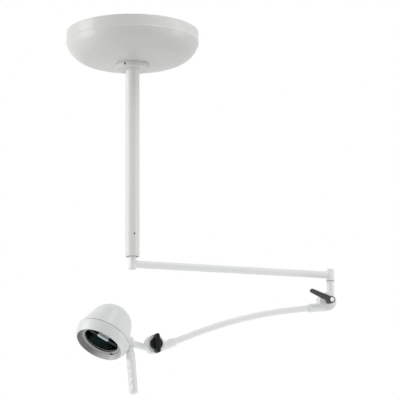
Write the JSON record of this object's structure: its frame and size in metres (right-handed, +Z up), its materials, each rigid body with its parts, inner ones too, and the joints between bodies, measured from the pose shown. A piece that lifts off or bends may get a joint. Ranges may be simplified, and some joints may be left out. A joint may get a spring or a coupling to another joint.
{
  "type": "dental operating light",
  "caption": "Ceiling-mounted dental operating light: canopy, drop tube, swing arm, friction elbow, curved lower arm, friction wrist and a halogen lamp head with a handle.",
  "frame": {"origin": "centre of the ceiling mounting face, on the drop tube's axis", "axes": "+Z up into the ceiling, the light hangs to -Z; +X along the swing arm at rest"},
  "size_m": [0.855, 0.404, 1.1103],
  "materials": {
    "white_enamel": "smooth semi-gloss powder enamel, warm white",
    "head_enamel": "smooth semi-gloss enamel, cool white",
    "zinc_steel": "bright zinc plated",
    "black_steel": "black oxide",
    "chrome": "polished",
    "transformer_wrap": "wound core in film wrap",
    "bronze": "sintered, oiled",
    "black_plastic": "fine matt moulding",
    "white_plastic": "satin moulding",
    "grey_rubber": "matt",
    "clear_glass": "polished, heat absorbing",
    "ceramic_white": "unglazed steatite",
    "reflector_mirror": "evaporated mirror coat"
  },
  "bodies": {
    "ceiling_mount": {"ceiling_plate": "zinc_steel", "tube_flange": "zinc_steel", "flange_bolts": "zinc_steel", "tube_set_bolts": "zinc_steel", "drop_tube": "white_enamel", "canopy_cover": "white_enamel", "canopy_collar": "white_enamel", "collar_set_screw": "black_steel", "transformer": "transformer_wrap", "transformer_bolt": "zinc_steel", "terminal_block": "white_plastic", "terminal_block_screws": "zinc_steel", "spindle_housing": "zinc_steel", "spindle_bushes": "bronze", "swing_stop_screw": "black_steel"},
    "swing_arm": {"swing_spindle": "white_enamel", "swing_stop_pin": "black_steel", "spindle_circlip": "black_steel", "spindle_plug": "white_plastic", "swing_arm_tube": "white_enamel", "arm_end_socket": "white_enamel", "arm_end_cap": "white_plastic", "swivel_bushes": "bronze"},
    "elbow_post": {"swivel_pin": "zinc_steel", "swivel_circlip": "black_steel", "swivel_washer": "grey_rubber", "elbow_rear_knuckle": "white_enamel", "elbow_bolt": "zinc_steel"},
    "lower_arm": {"elbow_front_knuckle": "white_enamel", "elbow_friction_disc": "grey_rubber", "lower_arm_tube": "white_enamel", "arm_socket_pins": "zinc_steel", "wrist_rear_knuckle": "white_enamel", "wrist_bolt": "zinc_steel"},
    "elbow_lever": {"clamp_lever": "black_plastic", "lever_cap_screw": "chrome"},
    "wrist_yoke": {"wrist_front_knuckle": "white_enamel", "wrist_friction_disc": "grey_rubber", "head_spindle": "zinc_steel", "hub_circlip": "black_steel"},
    "wrist_knob": {"wing_knob": "black_plastic"},
    "lamp_head": {"rear_shell": "head_enamel", "bezel_ring": "head_enamel", "bezel_screws": "black_steel", "front_glass": "clear_glass", "glass_gasket": "grey_rubber", "glass_retaining_ring": "head_enamel", "retaining_clips": "black_steel", "reflector": "reflector_mirror", "lamp_carrier": "zinc_steel", "lamp_socket": "ceramic_white", "halogen_bulb": "clear_glass", "bulb_shield": "chrome", "shield_bracket": "black_steel", "head_collar": "head_enamel", "hub_nut": "zinc_steel", "handle_stud": "zinc_steel", "handle_grip": "white_plastic", "switch_body": "black_plastic"},
    "lamp_switch": {"switch_rocker": "black_plastic"}
  },
  "joints": [
    {"name": "arm_swing", "type": "hinge", "parent": "ceiling_mount", "child": "swing_arm", "pos_m": [0, 0, -0.7055], "axis": [0, 0, 1], "range_deg": [-158, 158]},
    {"name": "elbow_swivel", "type": "hinge", "parent": "swing_arm", "child": "elbow_post", "pos_m": [0.64, 0, -0.7355], "axis": [0, 0, 1], "range_deg": [-165, 165]},
    {"name": "elbow_tilt", "type": "hinge", "parent": "elbow_post", "child": "lower_arm", "pos_m": [0.625, 0, -0.8011], "axis": [0, -1, 0], "range_deg": [-12, 105]},
    {"name": "lever_turn", "type": "hinge", "parent": "lower_arm", "child": "elbow_lever", "pos_m": [0.625, 0, -0.8011], "axis": [0, -1, 0], "range_deg": [-40, 40]},
    {"name": "wrist_tilt", "type": "hinge", "parent": "lower_arm", "child": "wrist_yoke", "pos_m": [0.06757, 0, -0.95553], "axis": [0, -1, 0], "range_deg": [-45, 80]},
    {"name": "knob_turn", "type": "hinge", "parent": "wrist_yoke", "child": "wrist_knob", "pos_m": [0.06757, 0, -0.95553], "axis": [0, -1, 0], "range_deg": [-90, 180]},
    {"name": "head_swivel", "type": "hinge", "parent": "wrist_yoke", "child": "lamp_head", "pos_m": [-0.08788, 0, -0.93559], "axis": [0.9751, 0, -0.2215], "range_deg": [-75, 105]},
    {"name": "switch_rock", "type": "hinge", "parent": "lamp_head", "child": "lamp_switch", "pos_m": [-0.08946, 0.07669, -0.92494], "axis": [0.8426, 0.0911, -0.5308], "range_deg": [-16, 0]}
  ]
}
